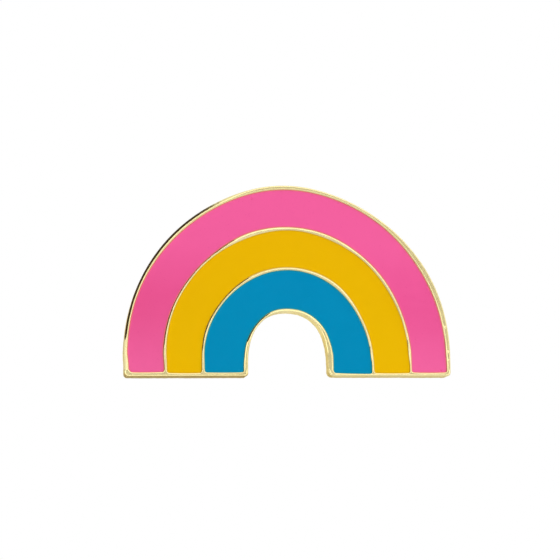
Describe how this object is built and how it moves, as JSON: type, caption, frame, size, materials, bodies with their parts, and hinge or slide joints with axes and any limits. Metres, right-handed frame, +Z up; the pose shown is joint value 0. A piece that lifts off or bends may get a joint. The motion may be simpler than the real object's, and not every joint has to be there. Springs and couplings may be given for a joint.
{
  "type": "rainbow enamel pin",
  "caption": "Arch-shaped soft enamel pin in a raised gold-plated metal outline, held on by sharp posts and butterfly clutches whose wings squeeze to let go.",
  "frame": {"origin": "on the flat back face, at the middle of the band at the arch's crown", "axes": "+X to the wearer's left across the pin, as the viewer's right; +Y out of the back, along the posts; +Z up through the crown"},
  "size_m": [0.0317, 0.0098, 0.0184],
  "materials": {
    "gold_plate": "polished pale gold plating",
    "clutch_brass": "stamped and gold plated",
    "solder": "solder fillet under thin gold plating",
    "enamel_pink": "baked soft enamel, glossy",
    "enamel_yellow": "baked soft enamel, glossy",
    "enamel_blue": "baked soft enamel, glossy"
  },
  "bodies": {
    "pin": {"struck_body": "gold_plate", "enamel_pink": "enamel_pink", "enamel_yellow": "enamel_yellow", "enamel_blue": "enamel_blue", "post_left": "gold_plate", "post_right": "gold_plate", "solder_left": "solder", "solder_right": "solder"},
    "clutch_left": {"clutch_cup_left": "clutch_brass", "clutch_strip_left": "clutch_brass"},
    "wing_a_left": {"clutch_wing_a_left": "clutch_brass"},
    "wing_b_left": {"clutch_wing_b_left": "clutch_brass"},
    "clutch_right": {"clutch_cup_right": "clutch_brass", "clutch_strip_right": "clutch_brass"},
    "wing_a_right": {"clutch_wing_a_right": "clutch_brass"},
    "wing_b_right": {"clutch_wing_b_right": "clutch_brass"}
  },
  "joints": [
    {"name": "clutch_left_slide", "type": "slide", "parent": "pin", "child": "clutch_left", "axis": [0, 1, 0], "range_m": [-0.001, 0.007]},
    {"name": "wing_a_left_squeeze", "type": "hinge", "parent": "clutch_left", "child": "wing_a_left", "pos_m": [-0.00983, 0.0038, -0.00608], "axis": [0.809, 0, -0.5878], "range_deg": [0, 16], "stiffness_Nm_per_rad": 0.001},
    {"name": "wing_b_left_squeeze", "type": "hinge", "parent": "clutch_left", "child": "wing_b_left", "pos_m": [-0.00724, 0.0038, -0.00252], "axis": [-0.809, 0, 0.5878], "range_deg": [0, 16], "stiffness_Nm_per_rad": 0.001},
    {"name": "clutch_right_slide", "type": "slide", "parent": "pin", "child": "clutch_right", "axis": [0, 1, 0], "range_m": [-0.001, 0.007]},
    {"name": "wing_a_right_squeeze", "type": "hinge", "parent": "clutch_right", "child": "wing_a_right", "pos_m": [0.00983, 0.0038, -0.00608], "axis": [0.809, 0, 0.5878], "range_deg": [0, 16], "stiffness_Nm_per_rad": 0.001},
    {"name": "wing_b_right_squeeze", "type": "hinge", "parent": "clutch_right", "child": "wing_b_right", "pos_m": [0.00724, 0.0038, -0.00252], "axis": [-0.809, 0, -0.5878], "range_deg": [0, 16], "stiffness_Nm_per_rad": 0.001}
  ],
  "couplings": [
    {"joint": "wing_b_left_squeeze", "follows": "wing_a_left_squeeze", "ratio": 1},
    {"joint": "wing_b_right_squeeze", "follows": "wing_a_right_squeeze", "ratio": 1}
  ]
}
